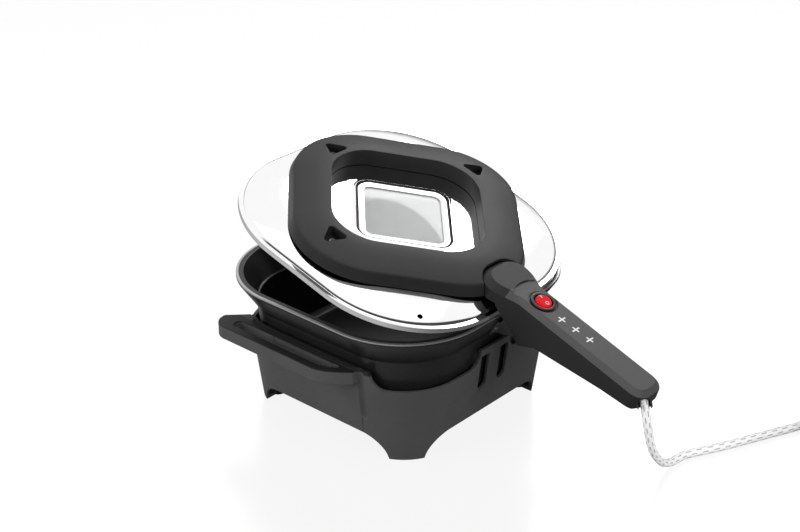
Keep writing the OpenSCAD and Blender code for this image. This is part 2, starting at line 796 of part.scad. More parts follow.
// A soft triangle with one corner pointing away from the middle of the lid
pocket_reach = 7.6;
module pocket_view(size) {
    polygon([for (a = [0, 120, 240]) each arc(
        pocket_reach * cos(a), pocket_reach * sin(a), size - pocket_reach, a - 60, a + 60, 6
    )]);
}

// One side of the handle's outline from above, from its tongue to its end, grown by g
root_front_r = 20;
flank_x = [max(hinge_x - 20, tongue_x + root_front_r + 0.5), hinge_x + 8];
function ease(t) = t * t * (3 - 2 * t);
function outline_side(g) = concat(
    arc(tongue_x + root_front_r, root_half - root_front_r, root_front_r + g, 180, 90),
    [for (i = [0:8]) [
        flank_x[0] + (flank_x[1] - flank_x[0]) * i / 8,
        root_half + (handle_half - root_half) * ease(i / 8) + g
    ]],
    arc(handle_end - handle_end_r, handle_half - handle_end_r, handle_end_r + g, 90, 0)
);
module handle_view(g) {
    side = outline_side(g);
    last = len(side) - 1;
    polygon(concat(side, [for (i = [0:last]) [side[last - i][0], -side[last - i][1]]]));
}

// The ring's outer form from foot to top, as a section from its corner centres outwards
ring_shoulder_r = ring_shoulder_half - ring_c;
function ring_top_line(r, drop) = let (fall = ring_top_w - ring_shoulder_w - 1) [
    for (t = [0:0.2:1]) [r - 2.5 - t * 30, ring_top_w - drop - fall * pow(1 - t, 1.6)]
];
module ring_form(inset, drop) {
    foot = ring_foot_r - inset;
    shoulder = ring_shoulder_r - inset;
    translate([ring_shift, 0, 0]) rotate(45)
        around_filled(ring_c, ring_foot_w - inset, ring_top_w - drop) polygon(concat(
        [[0, ring_foot_w - inset], [foot, ring_foot_w - inset], [shoulder, ring_shoulder_w - 1.6 - drop]],
        [[shoulder - 0.8, ring_shoulder_w - drop]],
        ring_top_line(shoulder, drop),
        [[0, ring_top_w - drop]]
    ));
}

module handle_ring() {
    color(charcoal) on_lid() difference() {
        union() {
            difference() {
                ring_form(0, 0);
                difference() {
                    ring_form(ring_wall, ring_wall);
                    rotate(45) linear_extrude(far)
                        soft_square(ring_open_half + ring_wall, ring_open_r + ring_wall);
                }
            }
            intersection() {
                ring_form(0.4, 0.4);
                at_pockets() translate([0, 0, spacer_top_w]) linear_extrude(far)
                    pocket_view(pocket_size + ring_wall);
            }
        }
        rotate(45) linear_extrude(far) soft_square(ring_open_half, ring_open_r);
        at_pockets() {
            translate([0, 0, pocket_floor_w]) linear_extrude(ring_top_w) pocket_view(pocket_size);
            cylinder(r = screw_r + 0.2, h = ring_top_w);
        }
        linear_extrude(far) handle_view(fit_gap);
    }
}

module ring_screws() {
    color(steel) on_lid() at_pockets() {
        translate([0, 0, dome_h + 0.6]) cylinder(r = screw_r, h = pocket_floor_w - dome_h - 0.6);
        translate([0, 0, pocket_floor_w]) difference() {
            cylinder(r = screw_head_r, h = 2.2);
            translate([0, 0, 1.1]) cylinder(r = 1.6, h = 2, $fn = 6);
        }
    }
}

// Lower handle shell: two cheeks around the hinge, then a hollow grip for the wiring
slot_side = [cos(open_angle), sin(open_angle)] * (prong_half + 0.6);
slot_exit = slot_side + far * [sin(open_angle), -cos(open_angle)];
module hinge_room_view() {
    translate([hinge_x, hinge_w]) {
        circle(hinge_room, $fn = 64);
        polygon([
            [1 - hinge_out, -far], [1 - hinge_out, hinge_room], [0, hinge_room], slot_side, slot_exit
        ]);
    }
}

cavity_front = switch_x - 7.8;
module cavity_view() {
    back = handle_end - 14;
    polygon([
        [cavity_front, split_w + cut], [cavity_front, hinge_w + 1.8],
        [hinge_x + 21, hinge_w - 7], [heel[0] + 2, handle_floor_w(heel[0] + 2)],
        [belly[0], handle_floor_w(belly[0])], [back, handle_floor_w(back)], [back, split_w + cut]
    ]);
}

module lower_view() {
    polygon([
        [tongue_x - cut, ring_foot_w], [lid_half - 4, ring_foot_w], [lid_half + 1.5, 1.5],
        [lid_half + 4, -2], root_tip, heel, belly, tail, [handle_end + cut, 1],
        [handle_end + cut, seam_w(handle_end + cut)], [tongue_x - cut, seam_w(tongue_x - cut)]
    ]);
}

function head_seat_w(x) = handle_floor_w(x) - 0.8;
module handle_lower() {
    color(charcoal) on_lid() difference() {
        union() {
            difference() {
                intersection() {
                    side_slab(-far / 4, far / 4) lower_view();
                    translate([0, 0, -far / 4]) linear_extrude(far / 2) handle_view(0);
                }
                side_slab(-handle_half + handle_wall, handle_half - handle_wall) cavity_view();
            }
            for (x = screw_x) translate([x, 0, handle_floor_w(x) - 0.4])
                cylinder(r = boss_r, h = seam_w(x + boss_r) - handle_floor_w(x) + 0.2);
        }
        side_slab(-slot_half, slot_half) hinge_room_view();
        translate([hinge_x, pin_len / 2 + pin_clear, hinge_w]) rotate([90, 0, 0])
            cylinder(r = pin_r + pin_clear, h = pin_len + 2 * pin_clear);
        for (x = screw_x) translate([x, 0, head_seat_w(x)]) {
            cylinder(r = screw_r + 0.3, h = far);
            translate([0, 0, -6]) cylinder(r = screw_head_r + 0.3, h = 6);
        }
        at_gland() translate([0, 0, -1]) cylinder(r = gland_r + 0.1, h = gland_len + 6);
        at_rocker() translate([0, 0, -well_depth]) cylinder(r = rocker_r + rocker_clear + 0.3, h = far / 8);
    }
}

// Upper handle shell: a tongue that lies in the ring's corner and a flat top with the switch
module cover_form() {
    top_h = chamfer_h + tongue_rise;
    low = outline_side(0);
    high = outline_side(-chamfer_w * top_h / chamfer_h);
    n = len(low);
    points = [
        for (level = [0, 1], side = [1, -1], i = [0:n - 1])
            let (p = level == 0 ? low[i] : high[i]) [p[0] - hinge_x, side * p[1], level * top_h]
    ];
    // Corners of the four lines: low left, low right, high left, high right
    faces = [
        for (i = [0:n - 2]) let (a = i, b = n + i, c = 2 * n + i, d = 3 * n + i) each [
            [a, a + 1, c + 1], [a, c + 1, c], [b, d + 1, b + 1], [b, d, d + 1],
            [a, b + 1, a + 1], [a, b, b + 1], [c, c + 1, d + 1], [c, d + 1, d]
        ]
    ];
    ends = [
        [0, 2 * n, 3 * n], [0, 3 * n, n],
        [n - 1, 2 * n - 1, 4 * n - 1], [n - 1, 4 * n - 1, 3 * n - 1]
    ];
    polyhedron(points, concat(faces, ends));
}

module handle_cover() {
    step_r = switch_out + 9;
    color(charcoal) on_lid() difference() {
        on_slope() difference() {
            cover_form();
            translate([switch_out, 0, chamfer_h]) {
                cylinder(r = step_r, h = far / 8);
                translate([0, -far / 4, 0]) cube([far, far / 2, far / 8]);
            }
            translate([switch_out, 0, -cut]) cylinder(r = switch_hole_r, h = far / 8);
            translate([switch_out, 0, recess_h]) cylinder(r = bezel_r + recess_gap, h = far / 8);
        }
        for (x = screw_x) translate([x, 0, seam_w(x) - cut]) cylinder(r = screw_r + 0.1, h = 3 + cut);
    }
}

// The sloping frame of the handle's top, with its origin over the hinge
module on_slope() {
    translate([hinge_x, 0, split_w]) rotate([0, handle_droop, 0]) children();
}

module handle_screws() {
    color(steel) on_lid() for (x = screw_x) translate([x, 0, head_seat_w(x)]) {
        cylinder(r = screw_r, h = seam_w(x) + 2.5 - head_seat_w(x));
        translate([0, 0, -1.6]) cylinder(r = screw_head_r, h = 1.6);
    }
}

// Switch: a round bezel and body in the handle's top, with a rocker on a cross axle
recess_h = chamfer_h - 1.2;
recess_gap = 1.6;
bezel_t = 2.2;
module switch_housing() {
    color(deep_black) on_lid() difference() {
        union() {
            on_slope() translate([switch_out, 0, 0]) {
                translate([0, 0, recess_h]) cylinder(r = bezel_r, h = bezel_t);
                cylinder(r = switch_hole_r - 0.2, h = recess_h + bezel_t / 2);
                translate([-housing_half[0], -housing_half[1], housing_bottom_w - seam_w(switch_x)])
                    cube([2 * housing_half[0], 2 * housing_half[1], seam_w(switch_x) - housing_bottom_w]);
                for (x = [1, 5]) translate([x, -2.5, housing_bottom_w - seam_w(switch_x) - 5])
                    cube([0.8, 5, 6]);
            }
        }
        at_rocker() {
            translate([0, 0, -well_depth]) cylinder(r = rocker_r + rocker_clear, h = far / 8);
            rotate([90, 0, 0])
                cylinder(r = axle_r + pin_clear, h = 2 * switch_hole_r - 1, center = true, $fn = 32);
        }
    }
}

module at_rocker() {
    translate([switch_x, 0, rocker_w]) rotate([0, handle_droop, 0]) children();
}

rocker_top = 5.6;
rocker_bottom = -3.2;
module switch_rocker() {
    color([0.85, 0.05, 0.05]) on_lid() at_rocker() rotate([0, rocker_tilt, 0]) {
        intersection() {
            sphere(rocker_r);
            translate([-rocker_r, -rocker_r, rocker_bottom])
                cube([2 * rocker_r, 2 * rocker_r, rocker_top - rocker_bottom]);
        }
        rotate([90, 0, 0]) cylinder(r = axle_r, h = 2 * switch_hole_r - 2, center = true, $fn = 32);
    }
}

// Wiring in the handle
block_x = [hinge_x + 50, hinge_x + 80];
block_h = 9;
module terminal_block() {
    color([0.9, 0.88, 0.8]) on_lid() difference() {
        side_slab(-10, 10) polygon([
            [block_x[0], handle_floor_w(block_x[0])], [block_x[1], handle_floor_w(block_x[1])],
            [block_x[1], handle_floor_w(block_x[1]) + block_h],
            [block_x[0], handle_floor_w(block_x[0]) + block_h]
        ]);
        for (x = [block_x[0] + 8, block_x[1] - 8], y = [-6, 0, 6])
            translate([x, y, handle_floor_w(x) + block_h - 3]) cylinder(r = 1.8, h = block_h, $fn = 32);
    }
}

lead_r = 1.1;
module inner_leads() {
    front = block_x[0] - 0.4;
    back = block_x[1] + 0.4;
    color(brass) on_lid() {
        for (k = [0, 1]) rod(
            [front, (2 * k - 1) * 6, handle_floor_w(front) + 4],
            [switch_x + 1.4 + 4 * k, (2 * k - 1) * 3.7, housing_bottom_w - 3], lead_r
        );
        for (side = [-1, 1]) rod(
            [back, side * 8, handle_floor_w(back) + 4],
            [handle_end - 16, side * 2.5, handle_floor_w(handle_end - 16) + 7], lead_r
        );
    }
}

// Gland: a tapered sleeve in the handle's end
module at_gland() {
    translate(gland_mouth) rotate([0, 180 - 90 + gland_angle, 0]) translate([0, 0, -gland_len]) children();
}

module cord_gland() {
    mouth_clear = 0.1;
    color(deep_black) on_lid() at_gland() rotate_extrude() polygon([
        [cord_d / 2 + mouth_clear, 0], [gland_r - 1.4, 0], [gland_r, gland_len * 0.6],
        [gland_r, gland_len - 0.6], [gland_r - 0.6, gland_len], [cord_d / 2 + mouth_clear, gland_len]
    ]);
}

// Cord: it hangs from the gland, lies on the table and ends in a coil with its plug
sideways = [1, 0, 0];
upwards = [0, 0, 1];
module cord_drop() {
    first = drop_route[1] - drop_route[0];
    color("white") tube(drop_route, cord_d / 2, 10, first, [0, 1, 0], sideways);
}

module cord_lead() {
    color("white") tube(lead_route, cord_d / 2, 10, [0, 1, 0], coil_entry_dir, upwards);
}

module cord_coil() {
    color("white") tube(coil_route, cord_d / 2, 6, coil_entry_dir, coil_exit_dir, upwards);
}

tie_t = 1.2;
tie_w = 10;
tie_gap = 0.2;
tie_turn = 0.25;
module coil_tie() {
    inner = coil_radius(layer_turns - tie_turn) - cord_d / 2 - tie_gap - tie_w * tie_w / 240;
    outer = coil_radius(tie_turn) + cord_d / 2 + tie_gap;
    low = coil_z - cord_d / 2 - tie_gap;
    high = coil_z + coil_layer + cord_d / 2 + tie_gap;
    color(deep_black) translate([coil_centre[0], coil_centre[1], 0])
        rotate(coil_start_deg - 360 * tie_turn) side_slab(-tie_w / 2, tie_w / 2) difference() {
            translate([inner - tie_t, low - tie_t])
                square([outer - inner + 2 * tie_t, high - low + 2 * tie_t]);
            translate([inner, low]) square([outer - inner, high - low]);
        }
}

// Plug: a round moulded body with two pins
module at_plug() {
    translate(plug_at) rotate([0, 90, coil_end_deg - 90]) children();
}

sleeve_len = 24;
module plug_body() {
    color(deep_black) at_plug() rotate_extrude() polygon([
        [0, 0], [cord_d / 2 + 1, 0], [cord_d / 2 + 3, sleeve_len], [plug_r * 0.62, sleeve_len],
        [plug_r * 0.8, sleeve_len + plug_len * 0.25], [plug_r, sleeve_len + plug_len * 0.6],
        [plug_r, sleeve_len + plug_len - 1], [plug_r - 1, sleeve_len + plug_len],
        [0, sleeve_len + plug_len]
    ]);
}

module plug_pins() {
    color(steel) at_plug() for (y = [-9.5, 9.5]) translate([0, y, sleeve_len + plug_len]) {
        cylinder(r = 2.4, h = 17.5, $fn = 32);
        translate([0, 0, 17.5]) cylinder(r1 = 2.4, r2 = 1.4, h = 1.5, $fn = 32);
    }
}

stand_frame();
foot_pads();
pan_body();
hinge_bracket();
bracket_rivets();
hinge_pin();
lid_shell();
lid_rim();
inner_reflector();
insulation_mat();
heating_element();
element_clips();
window_glass();
window_seal();
window_frame();
thermal_cutout();
ring_spacers();
handle_ring();
ring_screws();
handle_lower();
handle_cover();
handle_screws();
switch_housing();
switch_rocker();
terminal_block();
inner_leads();
cord_gland();
cord_drop();
cord_lead();
cord_coil();
coil_tie();
plug_body();
plug_pins();
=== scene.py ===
# %% [markdown]
# An electric baking pan: a coated square pan in a moulded stand, and a polished lid with
# a heating loop, a window, a plastic ring and a switch handle. The solids come from the
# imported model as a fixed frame. This lesson gives them soft edges, real finishes, the
# printed marks and the braided cord, and it lights them like the studio picture.

import json
import math

import bpy
from mathutils import Matrix, Vector

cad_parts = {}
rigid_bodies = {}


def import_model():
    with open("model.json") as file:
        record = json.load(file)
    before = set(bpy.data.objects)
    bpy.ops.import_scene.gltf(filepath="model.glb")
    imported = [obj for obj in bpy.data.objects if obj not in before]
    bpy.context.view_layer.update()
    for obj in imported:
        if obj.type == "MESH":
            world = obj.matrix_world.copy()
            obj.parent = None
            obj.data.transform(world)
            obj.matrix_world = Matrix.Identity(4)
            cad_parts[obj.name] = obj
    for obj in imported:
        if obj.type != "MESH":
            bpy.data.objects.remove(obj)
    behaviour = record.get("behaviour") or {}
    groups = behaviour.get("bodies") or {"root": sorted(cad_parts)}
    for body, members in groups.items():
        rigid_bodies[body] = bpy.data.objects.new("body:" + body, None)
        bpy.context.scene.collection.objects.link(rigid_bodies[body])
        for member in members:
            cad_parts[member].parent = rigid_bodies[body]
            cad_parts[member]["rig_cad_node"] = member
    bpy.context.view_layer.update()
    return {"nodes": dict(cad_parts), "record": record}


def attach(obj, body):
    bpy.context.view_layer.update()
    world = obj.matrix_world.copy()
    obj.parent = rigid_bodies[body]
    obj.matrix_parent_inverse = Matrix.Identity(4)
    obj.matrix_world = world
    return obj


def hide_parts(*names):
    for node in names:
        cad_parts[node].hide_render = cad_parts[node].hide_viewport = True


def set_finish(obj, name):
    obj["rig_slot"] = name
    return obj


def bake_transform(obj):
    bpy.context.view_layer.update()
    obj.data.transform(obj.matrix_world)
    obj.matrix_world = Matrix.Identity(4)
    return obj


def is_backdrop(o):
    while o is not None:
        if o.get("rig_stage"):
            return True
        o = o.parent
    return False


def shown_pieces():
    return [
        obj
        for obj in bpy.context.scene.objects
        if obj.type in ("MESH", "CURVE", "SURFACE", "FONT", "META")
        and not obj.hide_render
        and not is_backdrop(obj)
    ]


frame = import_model()
nodes = frame["nodes"]
scene = bpy.context.scene
scene.view_settings.view_transform = "Standard"

# %% [markdown]
# The camera stands where the photographer stood: in front on the handle's right, a little
# above the lid. The eye, the aim and the lens were worked out from the stand's corners.

# %% Camera
eye = Vector((0.9228, -1.0411, 0.8277))
aim = Vector((-0.0588, 0.0610, 0.0876))
bpy.ops.object.camera_add(location=eye)
camera = bpy.context.object
camera.rotation_euler = (aim - eye).to_track_quat("-Z", "Y").to_euler()
camera.data.lens = 75.87
camera.data.sensor_width = 36
camera.data.shift_x = 0.00625
camera.data.clip_end = 50
scene.camera = camera
print("camera", [round(v, 3) for v in camera.location])

# %% [markdown]
# A moulded or pressed piece never has a knife edge: light catches a small radius on each
# one. Each solid is copied and welded, its triangles are paired into quads, and a Bevel
# with an angle limit rounds its edges. Weighted normals keep the flats flat beside them.

# %% Soft edges on a solid
weld_gap = 2e-6
flat_angle = math.radians(0.5)
crease_angle = math.radians(35)


def only(piece):
    """Make this the one selected and active object."""
    bpy.ops.object.select_all(action="DESELECT")
    piece.select_set(True)
    bpy.context.view_layer.objects.active = piece


def apply_modifier(piece, kind, **settings):
    """Add one modifier with these settings and apply it."""
    only(piece)
    modifier = piece.modifiers.new(kind.lower(), kind)
    for name, value in settings.items():
        setattr(modifier, name, value)
    bpy.ops.object.modifier_apply(modifier=modifier.name)


def cut_out(piece, cutter):
    """Take the cutter's shape out of a piece."""
    apply_modifier(piece, "BOOLEAN", operation="DIFFERENCE", solver="EXACT", object=cutter)


def edit_mesh(action):
    """Go into edit mode and select or deselect the whole mesh."""
    bpy.ops.object.mode_set(mode="EDIT")
    bpy.ops.mesh.select_all(action=action)


def softened(name, node, edge, cutter=None, splits=()):
    """A welded copy of a solid with rounded edges of edge millimetres.

    A cutter is taken out of it first; splits are planes that break up long thin faces.
    """
    mesh = nodes[node].data.copy()
    mesh.name = name
    mesh.materials.clear()
    piece = bpy.data.objects.new(name, mesh)
    scene.collection.objects.link(piece)
    only(piece)
    if mesh.has_custom_normals:
        bpy.ops.mesh.customdata_custom_splitnormals_clear()
    edit_mesh("SELECT")
    bpy.ops.mesh.remove_doubles(threshold=weld_gap)
    bpy.ops.mesh.mark_sharp(clear=True)
    bpy.ops.mesh.tris_convert_to_quads(face_threshold=flat_angle, shape_threshold=math.pi)
    bpy.ops.object.mode_set(mode="OBJECT")
    if cutter:
        cut_out(piece, cutter)
    if edge:
        apply_modifier(piece, "BEVEL", width=edge / 1000, segments=2, limit_method="ANGLE",
                       angle_limit=crease_angle, use_clamp_overlap=False)
    for point, way in splits:
        edit_mesh("SELECT")
        bpy.ops.mesh.bisect(plane_co=point, plane_no=way)
        bpy.ops.object.mode_set(mode="OBJECT")
    bpy.ops.object.shade_smooth_by_angle(angle=crease_angle)
    apply_modifier(piece, "WEIGHTED_NORMAL", keep_sharp=True)
    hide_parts(node)
    print(name, "from", node, len(mesh.polygons), "faces")
    return piece


# %% [markdown]
# The cord leaves the handle's end, drops to the table in a loose bend and runs off to the
# right. What the picture doesn't show is wound into a tied coil of two layers, which climbs
# to the plug's height at its end. The route takes the same points as the solids do, in
# millimetres, and a spline makes one smooth line of them.

# %% Route of the cord
cord_d = 7.6
drop_points = [(272.090, 0, 104.176), (274.695, 0, 93.490), (277, 1, 81), (277.5, 4.5, 67),
               (277, 10, 52), (275.5, 19, 36.5), (273.5, 31, 22.5), (272, 43, 12), (271, 55, 6)]
lead_points = [(271, 66, 4), (272.5, 76, 4), (277, 86, 4), (284, 99, 4), (292, 115, 4),
               (301.2, 135.5, 4), (310.4, 156, 4), (319.6, 176.5, 4), (328.8, 197, 4.5),
               (338, 217.5, 5.2)]
coil_r, coil_pitch, coil_z, coil_layer = 50, 9.2, 5.4, 8.6
layer_turns, climb_turns, coil_turns, rise_turns = 1.5, 0.5, 3.5, 0.22
plug_z = 18.7
points_per_turn, spline_steps = 24, 4
into_coil = Vector((0.4, 0.9165, 0))
coil_first = Vector((338, 217.5, coil_z)) + into_coil * cord_d
coil_middle = coil_first + Vector((into_coil.y, -into_coil.x, 0)) * coil_r
coil_from = math.atan2(coil_first.y - coil_middle.y, coil_first.x - coil_middle.x)


def coil_point(t):
    """The middle of the cord after t turns of the coil."""
    if t < layer_turns:
        radius, height = coil_r - coil_pitch * t, 0
    elif t < layer_turns + climb_turns:
        radius = coil_r - coil_pitch * layer_turns
        height = coil_layer * (t - layer_turns) / climb_turns
    else:
        radius = coil_r - coil_pitch * (coil_turns - t)
        rise = max(0, (t - coil_turns + rise_turns) / rise_turns)
        height = coil_layer + (plug_z - coil_z - coil_layer) * rise
    angle = coil_from - 2 * math.pi * t
    return coil_middle + Vector((radius * math.cos(angle), radius * math.sin(angle), height))


def smooth_line(points, steps):
    """A smooth curve through the points, a Catmull-Rom spline."""
    ends = [points[0] * 2 - points[1], *points, points[-1] * 2 - points[-2]]
    line = []
    for a, b, c, d in zip(ends, ends[1:], ends[2:], ends[3:]):
        for i in range(steps):
            t = i / steps
            line.append((b * 2 + (c - a) * t + (a * 2 - b * 5 + c * 4 - d) * t ** 2
                         + (b * 3 - a - c * 3 + d) * t ** 3) / 2)
    return line + [points[-1]]


coil_end = coil_from - 2 * math.pi * coil_turns
out_of_coil = Vector((math.sin(coil_end), -math.cos(coil_end), 0))
coil_points = [coil_point(i / points_per_turn)
               for i in range(round(points_per_turn * coil_turns) + 1)]
route = smooth_line([Vector(p) for p in drop_points + lead_points] + coil_points
                    + [coil_point(coil_turns) + out_of_coil * cord_d], spline_steps)
route = [p / 1000 for p in route]
cord_length = sum((b - a).length for a, b in zip(route, route[1:]))
print("cord", round(cord_length, 3), "m in", len(route), "points")

# %% [markdown]
# The cord is one round tube: its top end starts at the handle and the rest lies on the
# table. It is built row by row, so that its UV map can go with it. There u goes round the cord
# and v along it, and the braid can follow every bend.

# %% Tube of the cord
tube_crease = math.radians(50)


def tube_along(name, line, radius, sides):
    """A closed round tube on a line, with u round it and v along it in circumferences."""
    ahead = [(b - a).normalized() for a, b in zip(line, line[1:])]
    ways = [ahead[0]] + [(a + b).normalized() for a, b in zip(ahead, ahead[1:])] + [ahead[-1]]
    side = ways[0].orthogonal().normalized()
    corners, rows, run = [], [], 0.0
    for i, (point, way) in enumerate(zip(line, ways)):
        side = (side - way * side.dot(way)).normalized()
        across = way.cross(side)
        run += (point - line[i - 1]).length if i else 0
        rows.append(run / (2 * math.pi * radius))
        for k in range(sides):
            a = 2 * math.pi * k / sides
            corners.append(point + (side * math.cos(a) + across * math.sin(a)) * radius)
    faces, spots = [], []
    for i in range(len(line) - 1):
        for k in range(sides):
            n = (k + 1) % sides
            faces.append((i * sides + k, i * sides + n, (i + 1) * sides + n, (i + 1) * sides + k))
            spots += [(k / sides, rows[i]), ((k + 1) / sides, rows[i]),
                      ((k + 1) / sides, rows[i + 1]), (k / sides, rows[i + 1])]
    last = (len(line) - 1) * sides
    faces += [tuple(reversed(range(sides))), tuple(range(last, last + sides))]
    spots += [(0.5, 0.5)] * (2 * sides)
    mesh = bpy.data.meshes.new(name)
    mesh.from_pydata(corners, [], faces)
    layer = mesh.uv_layers.new(name="braid")
    for loop, spot in zip(layer.data, spots):
        loop.uv = spot
    piece = bpy.data.objects.new(name, mesh)
    scene.collection.objects.link(piece)
    only(piece)
    bpy.ops.object.shade_smooth_by_angle(angle=tube_crease)
    return piece


cord = tube_along("braided_cord", route, cord_d / 2000, sides=20)
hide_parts("cord_drop", "cord_lead", "cord_coil")
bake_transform(cord)
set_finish(cord, "cord_braid")
print("tube", len(cord.data.polygons), "faces")

# %% [markdown]
# The plug is moulded onto the cord's end, with two turned pins, and a rubber band ties the
# coil. They lie on the table with the cord, so they ride on the body that the lid tips on.

# %% Plug, pins and tie
plug = softened("mains_plug", "plug_body", 0.8)
pins = softened("mains_pins", "plug_pins", 0.3)
tie = softened("cord_tie", "coil_tie", 0.4)
for piece, finish in ((plug, "plug_black"), (pins, "bare_steel"), (tie, "foot_rubber")):
    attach(piece, "lid_pivot")
    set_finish(piece, finish)

# %% [markdown]
# Shader maths reads best as plain sums. This class wraps a node's socket: adding or
# multiplying wires makes Math nodes, and node() makes any other node from its type, the
# values or wires of its sockets, and its settings.

# %% Wires for shader maths
class Wire:
    """A shader socket that can be used in sums."""

    def __init__(self, socket):
        self.socket, self.tree = socket, socket.id_data

    def node(self, kind, inputs, output=0, **settings):
        """A new node in the same tree; returns one of its outputs."""
        made = self.tree.nodes.new(kind)
        for name, value in settings.items():
            setattr(made, name, value)
        for name, value in inputs.items():
            if isinstance(value, Wire):
                self.tree.links.new(value.socket, made.inputs[name])
            else:
                made.inputs[name].default_value = value
        return Wire(made.outputs[output])

    def math(self, operation, a, b=0.0):
        return self.node("ShaderNodeMath", {0: a, 1: b}, operation=operation)

    def __add__(self, other): return self.math("ADD", self, other)
    def __sub__(self, other): return self.math("SUBTRACT", self, other)
    def __rsub__(self, other): return self.math("SUBTRACT", other, self)
    def __mul__(self, other): return self.math("MULTIPLY", self, other)
    def __pow__(self, other): return self.math("POWER", self, other)
    def __lt__(self, other): return self.math("LESS_THAN", self, other)
    def __gt__(self, other): return self.math("GREATER_THAN", self, other)
    def __mod__(self, other): return self.math("FLOORED_MODULO", self, other)
    def __abs__(self): return self.math("ABSOLUTE", self)
    def most(self, other): return self.math("MAXIMUM", self, other)

    def noise(self, size, detail):
        """Cloudy values from 0 to 1 whose lumps are about size millimetres wide."""
        return self.node("ShaderNodeTexNoise", {
            "Vector": self, "Scale": 1000 / size, "Detail": detail})

    def between(self, low, high):
        """Values of this wire, stretched from 0..1 to low..high."""
        return self * (high - low) + low

    def ramp(self, first, second):
        """Values that go from one (place, value) to the next and stay level outside them."""
        shades = self.node("ShaderNodeValToRGB", {"Fac": self})
        stops = shades.socket.node.color_ramp.elements
        for stop, (place, value) in zip(stops, (first, second)):
            stop.position, stop.color = place, (*grey(value), 1)
        return shades

    def tint(self, first, second):
        """A colour that goes from first at 0 to second at 1."""
        first, second = (c if isinstance(c, Wire) else (*c, 1) for c in (first, second))
        return self.node("ShaderNodeMix", {0: self, 6: first, 7: second}, output=2,
                         data_type="RGBA")

    def parts(self):
        """The x, y and z of a vector."""
        cut = self.node("ShaderNodeSeparateXYZ", {0: self}).socket.node
        return [Wire(o) for o in cut.outputs]

    def joined(self, x, y, z):
        return self.node("ShaderNodeCombineXYZ", {0: x, 1: y, 2: z})

    def bump(self, height, depth):
        """A normal from a height wire; depth is in millimetres."""
        return self.node("ShaderNodeBump", {"Height": height, "Distance": depth / 1000})


def grey(level):
    """A colour without a hue."""
    return (level, level, level)


def cleared(owner):
    """The emptied node tree of a material or a world."""
    owner.use_nodes = True
    owner.node_tree.nodes.clear()
    return owner.node_tree


def coordinates(tree, kind):
    """The texture coordinates of one kind as a wire."""
    return Wire(tree.nodes.new("ShaderNodeTexCoord").outputs[kind])


def rays_from(tree):
    """Wires that are 1 for rays from the camera, from gloss and from glass."""
    path = tree.nodes.new("ShaderNodeLightPath")
    return [Wire(path.outputs[f"Is {kind} Ray"]) for kind in ("Camera", "Glossy", "Transmission")]


def surface_of(tree, kind, wire):
    """Send a shader wire to the output node of a tree."""
    tree.links.new(wire.socket, tree.nodes.new(kind).inputs["Surface"])


# %% [markdown]
# The picture was taken on a white sweep, with large soft lamps and a darker room behind the
# photographer. Only mirrors see that room and the grey far end of the sweep: the room draws
# the dark line along the lid's step, and the far end draws the thin line round the lid's far
# edge. The world is white for the camera and for glass, and much dimmer as light, so that
# the lamps set the level and a colour renders about as it is written.

# %% World
camera_x, camera_y = 0.665, -0.746
world_light = 0.3
world = bpy.data.worlds.new("white_sweep")
scene.world = world
tree = cleared(world)
camera_ray, glossy_ray, glass_ray = rays_from(tree)
x, y, z = coordinates(tree, "Generated").parts()
near_side = (x * camera_x + y * camera_y).ramp((0.05, 0), (0.2, 1))
near_room = near_side * z.ramp((0.62, 1), (0.8, 0)) * glossy_ray
far_end = z.ramp((0.2, 1), (0.34, 0)) * glossy_ray
sweep = (far_end * 0.8).tint(grey(1), grey(0.1))
white = z.node("ShaderNodeBackground", {"Color": near_room.tint(sweep, grey(0.06))})
dim = z.node("ShaderNodeBackground", {"Color": (1, 1, 1, 1), "Strength": world_light})
seen = camera_ray.most(glossy_ray).most(glass_ray)
surface_of(tree, "ShaderNodeOutputWorld",
           z.node("ShaderNodeMixShader", {0: seen, 1: dim, 2: white}))
print("world", len(tree.nodes), "nodes")

# %% [markdown]
# The floor is a sheet of white acrylic. The camera sees mostly its own glow, as on an
# overexposed sweep, with a weak mirror image of the stand and a trace of shadow. A mirror
# sees grey paper that gets darker to the right, as the lid's skirt does in the picture.

# %% Floor
floor_glow, mirror_haze, mirror_share = 1.1, 0.22, 0.5
glow_for_camera, glow_for_gloss = 0.8, 0.06
bpy.ops.object.select_all(action="DESELECT")
bpy.ops.mesh.primitive_plane_add(size=12)
floor = bpy.context.object
floor.name = "floor"
floor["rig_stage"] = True
acrylic = bpy.data.materials.new("floor_acrylic")
tree = cleared(acrylic)
camera_ray, glossy_ray, glass_ray = rays_from(tree)
x, y, _ = coordinates(tree, "Object").parts()
to_the_right = (x * -camera_y + y * camera_x + 0.5).ramp((0.42, 0), (0.62, 1))
paper = x.node("ShaderNodeBsdfDiffuse", {
    "Color": (to_the_right * glossy_ray).tint(grey(0.36), grey(0.06))})
mirror = x.node("ShaderNodeBsdfGlossy", {"Color": (1, 1, 1, 1), "Roughness": mirror_haze})
glow = x.node("ShaderNodeEmission", {"Strength": floor_glow})
sheet = x.node("ShaderNodeMixShader", {0: camera_ray * mirror_share, 1: paper, 2: mirror})
seen = (camera_ray * glow_for_camera).most(glossy_ray * glow_for_gloss).most(glass_ray)
surface_of(tree, "ShaderNodeOutputMaterial",
           x.node("ShaderNodeMixShader", {0: seen, 1: sheet, 2: glow}))
floor.data.materials.append(acrylic)
print("floor", len(tree.nodes), "nodes")

# %% [markdown]
# Four soft lamps: a big one overhead, one that stands for the window that shows in the pane,
# and two at the front that fill the walls. The fills are kept out of reflections.

# %% Lamps
lamps_aim = Vector((0, 0, 0.12))


